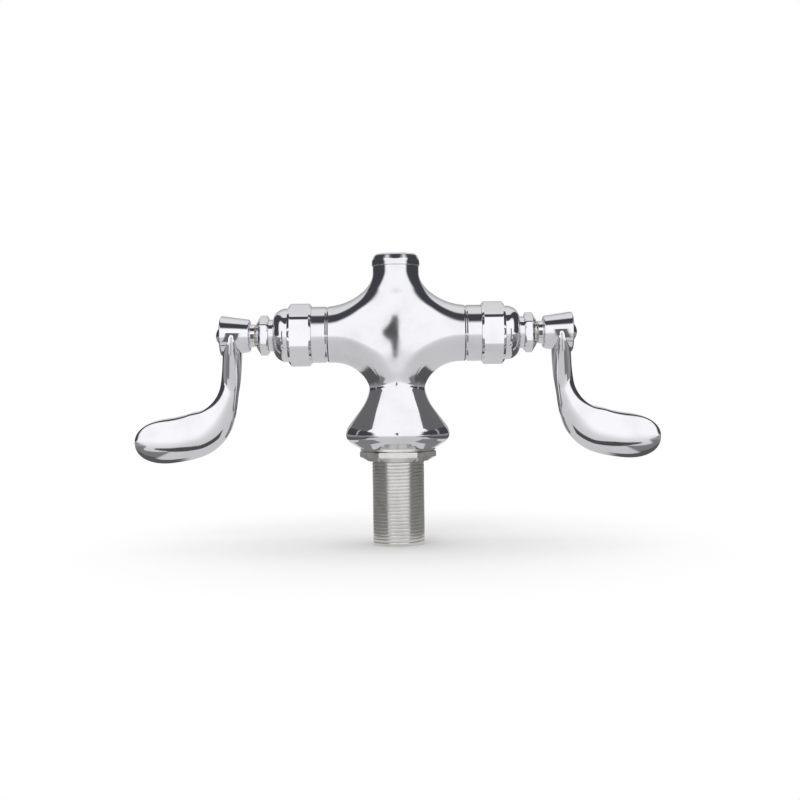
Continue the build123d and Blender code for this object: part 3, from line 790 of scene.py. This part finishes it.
shank = Shape()
crest, root = SHANK_RADIUS, SHANK_RADIUS - SHANK_DEPTH
shank_outline = [
    (0.0, crest - 0.04), (0.07, crest), (0.64, crest), (0.71, crest - 0.04),
    (0.81, root + 0.03), (0.84, root), (0.87, root), (0.9, root + 0.03),
]
low_ring = (SHANK_CHAMFER - SHANK_LENGTH, root - 0.1)
shank.thread(low_ring[0], 0.0, low_ring[1], root, shank_outline, SHANK_PITCH)
shank.turn(rounded([
    low_ring, (-SHANK_LENGTH, SHANK_RADIUS - SHANK_CHAMFER, 0.4), (-SHANK_LENGTH, SHANK_BORE, 0.3),
    (SHANK_SOCKET, SHANK_BORE, 0.3), (SHANK_SOCKET, SHANK_RADIUS, 0.3), (0, SHANK_RADIUS), (0, root),
]))
shank.build("shank_thread", "tap_body", "plated_shank", ["shank"])

# %% [markdown]
# The lock nut draws the tap down on the deck. It is a thin hexagon with its lower corners turned
# back to a cone, so it is made as the bonnets are, but about the column's axis and half a side
# round, so that a flat faces the front as in the photograph.

# %% The lock nut
NUT_FLATS, NUT_ROUNDING, NUT_TOP, NUT_HEIGHT = 43.0, 1.6, -1.5, 6.8
NUT_BORE, NUT_FACE = 16.65, SHANK_RADIUS + 2.9
NUT_CONE = radians(28)
turns, reach = hexagon(NUT_FLATS, NUT_ROUNDING)
corner = reach.max() + 0.2
nut_low = NUT_TOP - NUT_HEIGHT
cone = (corner - NUT_FACE) * tan(NUT_CONE)
nut = Shape()
nut.turn(rounded([
    (nut_low, NUT_BORE), (NUT_TOP, NUT_BORE, 0.3), (NUT_TOP, NUT_FLATS / 2 + 0.5, 0.5),
    (NUT_TOP - 0.9, corner, 0.5), (nut_low + cone, corner, 0.6), (nut_low, NUT_FACE, 0.5),
    (nut_low, NUT_BORE),
], steps=6), along_z, turns + pi / 6, reach)
nut.build("lock_nut_hexagon", "lock_nut", "plated_shank", ["lock_nut"])

# %% [markdown]
# ## The wrist-blade levers
#
# The real lever is one forging: a coned hub, an arm that grows out of it and a blade, rounded all
# over and crowned on both faces. Ovals along a bent middle line give the arm and blade. A curve
# object with a bevel would keep one section all the way, so the line, a smooth spline through the
# same points as the CAD grip, is worked out here and each oval has its own size.

# %% The lever's middle line
HUB_START, CONE_START, HUB_END = 90.324, 93.924, 112.624
ARM_X = 105.024  # where the arm's middle line meets the arms' axis
grip_route = [(0, 0), (2.6, -34.0), (13.4, -56.4), (40.4, -66.2), (64.4, -68.4)]


def direction(first, last):
    """The way from one point to another, one long."""
    step = np.subtract(last, first)
    return step / np.hypot(*step)


def smooth_line(route, first_way, last_way, count=400):
    """Points of a smooth line through a route, by cubics that share their slopes."""
    route = np.array(route, float)
    gaps = np.linalg.norm(np.diff(route, axis=0), axis=1)
    knots = np.concatenate([[0], np.cumsum(gaps)])
    size = len(route)
    sums, right = np.zeros((size, size)), np.zeros((size, 2))
    sums[0, 0] = sums[-1, -1] = 1
    right[0], right[-1] = first_way, last_way
    for k in range(1, size - 1):
        before, after = gaps[k - 1], gaps[k]
        sums[k, k - 1 : k + 2] = after, 2 * (before + after), before
        behind, ahead = route[k] - route[k - 1], route[k + 1] - route[k]
        right[k] = 3 * (after * behind / before + before * ahead / after)
    slopes = np.linalg.solve(sums, right)
    places = np.linspace(0, knots[-1], count)
    spans = np.clip(np.searchsorted(knots, places) - 1, 0, size - 2)
    gap = gaps[spans][:, None]
    t = ((places - knots[spans]) / gaps[spans])[:, None]
    points = route[spans] * (2 * t**3 - 3 * t**2 + 1) + route[spans + 1] * (3 * t**2 - 2 * t**3)
    return points + gap * (slopes[spans] * (t**3 - 2 * t**2 + t) + slopes[spans + 1] * (t**3 - t**2))


start_way = direction(grip_route[0], grip_route[1])
end_way = direction(grip_route[-2], grip_route[-1])
middle = smooth_line(grip_route, start_way, end_way)
lengths = np.concatenate([[0], np.cumsum(np.linalg.norm(np.diff(middle, axis=0), axis=1))])
print("lever's middle line is", round(float(lengths[-1]), 1), "mm long")

# %% [markdown]
# Each oval is a little squarer on the blade than on the arm, which gives the blade its full edge.
# Over the tip the ovals close in step, and inside the hub the first ones swell, so that the arm
# grows out of the hub as a forging's root does.

# %% The lever's ovals
ARM_SIZE, BLADE_SIZE = (12.4, 10.6), (28.9, 8.6)  # width and thickness
WIDENING = (33.0, 73.0)  # along the middle line, where the arm widens to the blade
BLADE_DROP, SQUARENESS = 0.5, 0.22
ROOT_THICKNESS, ROOT_FADE = 24.4, (2, 36)  # at the hub, and where it fades along the arm
ROOT_START, ROOT_RISE, ROOT_SINK = -5.0, (-5.5, 1.0), 6
TIP_LENGTH, TIP_FULL, TIP_BLUNT = 24.5, 2.3, 2.15
lever_length = lengths[-1] - 0.15


def on_middle(place):
    """The point of the middle line at a distance along it."""
    return np.array([np.interp(place, lengths, middle[:, k]) for k in (0, 1)])


def oval(place, turns):
    """The lever's points round its middle line, at a distance along it."""
    behind, ahead = on_middle(max(place, 0.5) - 0.5), on_middle(min(place + 0.5, lever_length))
    way = (ahead - behind) / np.linalg.norm(ahead - behind) if place > 0 else start_way
    here = on_middle(place) + way * min(place, 0)
    widened, rising = ease(place, *WIDENING), ease(place, *ROOT_RISE)
    past = np.clip((place - lever_length + TIP_LENGTH) / TIP_LENGTH, 0, 1)
    closing = max(1 - past**TIP_FULL, 1e-4) ** (1 / TIP_BLUNT)
    width = (ARM_SIZE[0] + (BLADE_SIZE[0] - ARM_SIZE[0]) * widened) * closing * (0.7 + 0.3 * rising)
    thick = (ARM_SIZE[1] + (BLADE_SIZE[1] - ARM_SIZE[1]) * widened) * closing
    thick += (ROOT_THICKNESS - ARM_SIZE[1]) * (1 - ease(place, *ROOT_FADE)) - ROOT_SINK * (1 - rising)
    square = 1 - SQUARENESS * widened
    across = width / 2 * np.sign(np.cos(turns)) * np.abs(np.cos(turns)) ** square
    out = thick / 2 * np.sign(np.sin(turns)) * np.abs(np.sin(turns)) ** square
    x = ARM_X + here[0] - way[1] * across
    z = ARM_Z + here[1] + way[0] * across - BLADE_DROP * widened
    return np.stack([x, out, z], 1)


# Where the ovals stand: in the hub, along the arm and blade, and ever closer over the tip
root = [ROOT_START, -4.2, -3.0, -1.5]
tip_start = lever_length - TIP_LENGTH
tip = tip_start + TIP_LENGTH * np.sin(np.radians(np.linspace(3, 90, 26)))
places = np.concatenate([root, np.linspace(0, tip_start, 60), tip])
turns = np.arange(72) * 2 * pi / 72
lever = Shape()
lever.grid([oval(place, turns) for place in places], closed=True)
lever.turn(rounded([
    (HUB_START, 4.9), (HUB_START, 7.2, 0.5), (CONE_START, 7.2, 0.8), (CONE_START, 10.3, 0.9),
    (HUB_END, 13.0, 1.0), (HUB_END, 5.35, 0.3), (HUB_END - 6.0, 5.35), (HUB_END - 6.0, 0),
]), along_x)
build_both(lever, "lever", "{}_handle", "handle")

# %% [markdown]
# ## The index caps
#
# A small bare dome closes the screw hole in each hub. A flattened sphere would have no rim, so
# the cap is turned as well: a plug in the hole, a thin rim on the hub's face and a shallow crown,
# whose curve follows from its width and height.

# %% The index caps
CAP_RADIUS, CAP_RIM, CAP_CROWN = 5.65, 0.8, 2.5
PLUG_RADIUS, PLUG_DEPTH = 5.3, 4.6
crown_curve = (CAP_RADIUS**2 + CAP_CROWN**2) / (2 * CAP_CROWN)
crown_turns = np.linspace(asin(CAP_RADIUS / crown_curve), 0, 12)
rim_x = HUB_END + CAP_RIM
crown = [(rim_x + CAP_CROWN - crown_curve * (1 - cos(t)), crown_curve * sin(t)) for t in crown_turns]
cap = Shape()
cap.turn(rounded([
    (HUB_END - PLUG_DEPTH, 0), (HUB_END - PLUG_DEPTH, PLUG_RADIUS, 0.2), (HUB_END - 0.02, PLUG_RADIUS),
    (HUB_END - 0.02, CAP_RADIUS, 0.15), (rim_x, CAP_RADIUS, 0.35), crown[2],
]) + crown[3:], along_x)
build_both(cap, "cap_dome", "{}_handle", "index_cap")

# %% [markdown]
# ## The tent
#
# Chrome needs something to reflect. The tap stands in a white tent: bright in front and overhead,
# pale to grey behind, and open to a dark room along a gap that rises on both sides and crosses the
# front of the roof. A world that works out its brightness from a ray's direction gives this with
# no picture. What isn't metal is lit by an even grey, and the camera sees plain white.

# %% The tent
GAP_TONE = (0.06, 0.061, 0.07, 1)
# Each edge of the gap: an angle up from the side, and how far round from the front the edge is there
GAP_STARTS = ((0, 54), (8, 52), (30, 64), (45, 76), (55, 72), (65, 58), (75, 46), (90, 41))
GAP_ENDS = ((0, 158), (30, 150), (45, 135), (55, 115), (65, 98), (75, 87), (90, 82))


def seen_in_metal(wire):
    """1 for rays that metal or glass sends out, and 0 for the rest."""
    glossy = wire.node("ShaderNodeLightPath", out="Is Glossy Ray")
    return wire.math("MAXIMUM", glossy, wire.node("ShaderNodeLightPath", out="Is Transmission Ray"))


def past(turned, bearing, edge, before, after):
    """A wire that goes from 0 to 1 where a ray passes an edge of the gap."""
    stops = [(height / 90, turn / 180) for height, turn in edge]
    return (turned - bearing.ramp(stops)).smooth(before, after)


world = bpy.data.worlds.new("tent")
scene.world = world
world.use_nodes = True
world.node_tree.nodes.clear()
wire = Wire(world.node_tree)
way = wire.node("ShaderNodeTexCoord", out="Generated")
side = wire.math("ABSOLUTE", way.part("X"))
turned = wire.math("ARCCOSINE", 0 - way.part("Y")) * (1 / pi)
height = wire.math("MAXIMUM", way.part("Z"), 0.0)
bearing = wire.math("ARCTAN2", height, side) * (2 / pi)
into_gap = past(turned, bearing, GAP_STARTS, -0.035, 0.045)
gap = into_gap * (1 - past(turned, bearing, GAP_ENDS, -0.035, 0.035))
beyond = past(turned, bearing, GAP_ENDS, -0.02, 0.05) * turned.smooth(0.4, 0.48)
behind = turned.smooth(0.62, 0.88).mix(grey(0.85), grey(0.42))
room = gap.mix(beyond.mix(grey(1.15), behind), GAP_TONE)
lit = seen_in_metal(wire).mix(grey(0.8), room)
shown = wire.node("ShaderNodeLightPath", out="Is Camera Ray").mix(lit, grey(1.0))
light = wire.node("ShaderNodeBackground", None, {"Color": shown, "Strength": 1.0})
wire.node("ShaderNodeOutputWorld", None, {"Surface": light})
print("tent of", len(world.node_tree.nodes), "nodes")

# %% [markdown]
# ## The floor
#
# A sheet of white paper takes the tap's shadow. A white plane alone would end in a grey horizon,
# so further out the camera sees it as plain white. Metal sees the sheet otherwise, as a glow of
# painted greys: a painted shade of the tap close by, bright far out, and painted dark at both
# sides, where the tent is open. Those dark sides draw dark lines on everything round.

# %% The floor
def paper_with_painted_shade():
    """Lit paper near the tap, plain white for the camera further out, painted shade and light for metal.
    """
    material, wire, shader = start_material("paper_with_painted_shade")
    wire.feed(shader, {"Base Color": grey(0.9), "Roughness": 0.9, "Specular IOR Level": 0.1})
    place = wire.node("ShaderNodeTexCoord", out="Object")
    away = wire.node("ShaderNodeVectorMath", {"operation": "LENGTH"}, {0: place}, "Value")
    aside, back = wire.math("ABSOLUTE", place.part("X")), place.part("Y")
    # Metres from the column: painted shade by the tap, brighter outwards, painted dark past both edges
    painted_shade_to_light = away.smooth(0.05, 1.6).mix(grey(0.66), grey(1.15))
    side_edge = (aside + back.smooth(-0.075, -0.04) * 0.05).smooth(0.18, 0.195)
    front_edge = (back + aside.smooth(0.32, 0.5) * 0.35).smooth(-0.26, -0.23)
    outer = wire.math("MAXIMUM", aside.smooth(0.25, 0.4), 1 - back.smooth(-0.11, -0.08))
    dark = outer.mix(grey(0.11), aside.smooth(0.4, 0.7).mix(grey(0.22), grey(0.33)))
    sheet = (side_edge * front_edge).mix(painted_shade_to_light, dark)
    metal = seen_in_metal(wire)
    glow = wire.node("ShaderNodeEmission", None, {"Color": metal.mix(grey(1.0), sheet), "Strength": 1.0})
    far_out = wire.node("ShaderNodeLightPath", out="Is Camera Ray") * away.smooth(0.09, 0.24)
    unlit = wire.math("MAXIMUM", far_out, metal)
    paper = Wire(wire.tree, shader.outputs[0])
    wire.node("ShaderNodeMixShader", None, {0: unlit, 1: paper, 2: glow}).cover()
    return material


def stand_in(name, corners, material):
    """A flat face of the studio, which isn't part of the tap."""
    data = bpy.data.meshes.new(name)
    data.from_pydata(corners, [], [tuple(range(len(corners)))])
    data.materials.append(material)
    face = bpy.data.objects.new(name, data)
    scene.collection.objects.link(face)
    return face


HALF = 3.0  # metres, half the sheet
floor_z = cad_bounds[0][2]
sheet = [(x * HALF, y * HALF, floor_z) for x, y in ((-1, -1), (1, -1), (1, 1), (-1, 1))]
stand_in("floor", sheet, paper_with_painted_shade())
print("floor at", round(floor_z / MM, 1), "mm")

# %% [markdown]
# ## Lamps, cards and flags
#
# Two soft boxes light the paper and lay the tap's soft shadow on it. They would make hard white
# squares in the chrome, so metal doesn't see them. Round chrome, a photographer hangs white cards
# for the bright fields and black flags for the dark lines. As real boards each would change the
# light on all the rest. Here they are faces of one even tone that only metal sees.

# %% The soft boxes
def softbox(name, place, aim, size, radiance):
    """A square lamp that gives radiance over size metres, and that nobody sees."""
    data = bpy.data.lights.new(name, "AREA")
    data.shape = "RECTANGLE"
    data.size, data.size_y = size, size
    data.energy = radiance * pi * size * size
    lamp = bpy.data.objects.new(name, data)
    scene.collection.objects.link(lamp)
    lamp.matrix_world = looking(place, aim)
    lamp.visible_glossy = lamp.visible_camera = False
    print(name, "of", round(data.energy, 2), "watts")


softbox("front_box", (-0.5, -1.3, 0.9), (0, 0, 0.04), size=0.7, radiance=2.4)
softbox("roof_box", (0, 0.15, 1.3), (0, 0, 0), size=0.9, radiance=1.6)

# %% [markdown]
# The camera's stand is a dark face that only metal sees, and paints a dark spindle reflected in the
# middle of the body. A white card under the arms paints the foot's bright front, and a grey card
# on each side its dark flanks: they face down, and from above they are clear. Flags paint the
# streak on each blade, the dark edge of each hub and the shade under the foot's rim.

# %% Cards and flags
STAND_Y, FLAG_Y, CARD_Z, FOOT_FLAG_X = -0.3, -0.060, 0.050, 0.040  # metres, as all below
# The camera's stand, as its left and right edge at each height
camera_stand = [
    (-0.009, 0.001, 0.020), (-0.012, 0.005, 0.045), (-0.016, 0.006, 0.062),
    (-0.027, 0.006, 0.070), (-0.037, 0.006, 0.080), (-0.037, 0.006, 0.090),
    (-0.027, 0.006, 0.100), (-0.016, 0.006, 0.112), (-0.010, 0.004, 0.124),
]
# Seen from above: the line where the cards meet, half the white card, and a whole grey one
card_edge = [(0.0335, -0.0165), (0.038, -0.0226), (0.049, -0.0355), (0.095, -0.045)]
white_half = card_edge + [(0.095, -0.100)]
grey_half = [(0.020, -0.0165), (0.020, 0.110), (0.095, 0.110)] + card_edge[::-1]
# The foot's flags as (y, z), and those of blade and hub as (x, z)
foot_flag = [
    (-0.042, -0.060), (-0.042, -0.013), (-0.016, -0.003), (-0.007, -0.0105),
    (0.012, -0.0105), (0.030, -0.016), (0.062, -0.030), (0.062, -0.060),
]
blade_flag = [
    (0.098, -0.005), (0.115, -0.0095), (0.132, -0.0115), (0.148, -0.0075), (0.175, -0.0065),
    (0.178, -0.009), (0.160, -0.0135), (0.145, -0.020), (0.128, -0.024), (0.098, -0.022),
]
hub_flag = [(0.092, 0.088), (0.1015, 0.088), (0.1035, 0.033), (0.094, 0.033)]


def even_tone(name, level, faces_down=False):
    """One even tone, whatever light falls on it. Where it faces down, it is clear from above."""
    material, wire, shader = start_material(name)
    tone = wire.node("ShaderNodeEmission", None, {"Color": grey(level), "Strength": 1.0})
    if faces_down:
        from_above = wire.node("ShaderNodeNewGeometry", out="Backfacing")
        clear = wire.node("ShaderNodeBsdfTransparent")
        tone = wire.node("ShaderNodeMixShader", None, {0: from_above, 1: tone, 2: clear})
    tone.cover()
    return material


def hang(name, corners, material):
    """A card or a flag that only metal sees."""
    card = stand_in(name, corners, material)
    card.visible_camera = card.visible_shadow = card.visible_diffuse = False


# The stand's dark face paints the dark spindle reflected in the middle of the body
stand_left = [(left, STAND_Y, z) for left, right, z in camera_stand]
stand_right = [(right, STAND_Y, z) for left, right, z in reversed(camera_stand)]
stand_black, wire, shader = start_material("stand_black")
wire.feed(shader, {"Base Color": grey(0.06), "Roughness": 0.9})
hang("camera_stand", stand_left + stand_right, stand_black)
# The white card's glow paints the foot's bright front in the metal
white_card = [(-x, y) for x, y in reversed(white_half)] + white_half
hang("white_card", [(x, y, CARD_Z) for x, y in white_card], even_tone("white_card", 1.15, True))
# Each flag and grey card paints a dark reflection: the blade's streak, the hub's dark edge, the foot's
# dark flanks and the shade under its rim
for side in (-1, 1):
    pair = {
        "foot_flag": ([(side * FOOT_FLAG_X, y, z) for y, z in foot_flag], 0.24),
        "blade_flag": ([(side * x, FLAG_Y, z) for x, z in blade_flag], 0.08),
        "hub_flag": ([(side * x, FLAG_Y, z) for x, z in hub_flag], 0.13),
        "grey_card": ([(side * x, y, CARD_Z) for x, y in grey_half][::side], 0.15),
    }
    for name, (corners, level) in pair.items():
        hang(name, corners, even_tone(name, level, name == "grey_card"))
print(2 * len(pair) + 2, "cards and flags")
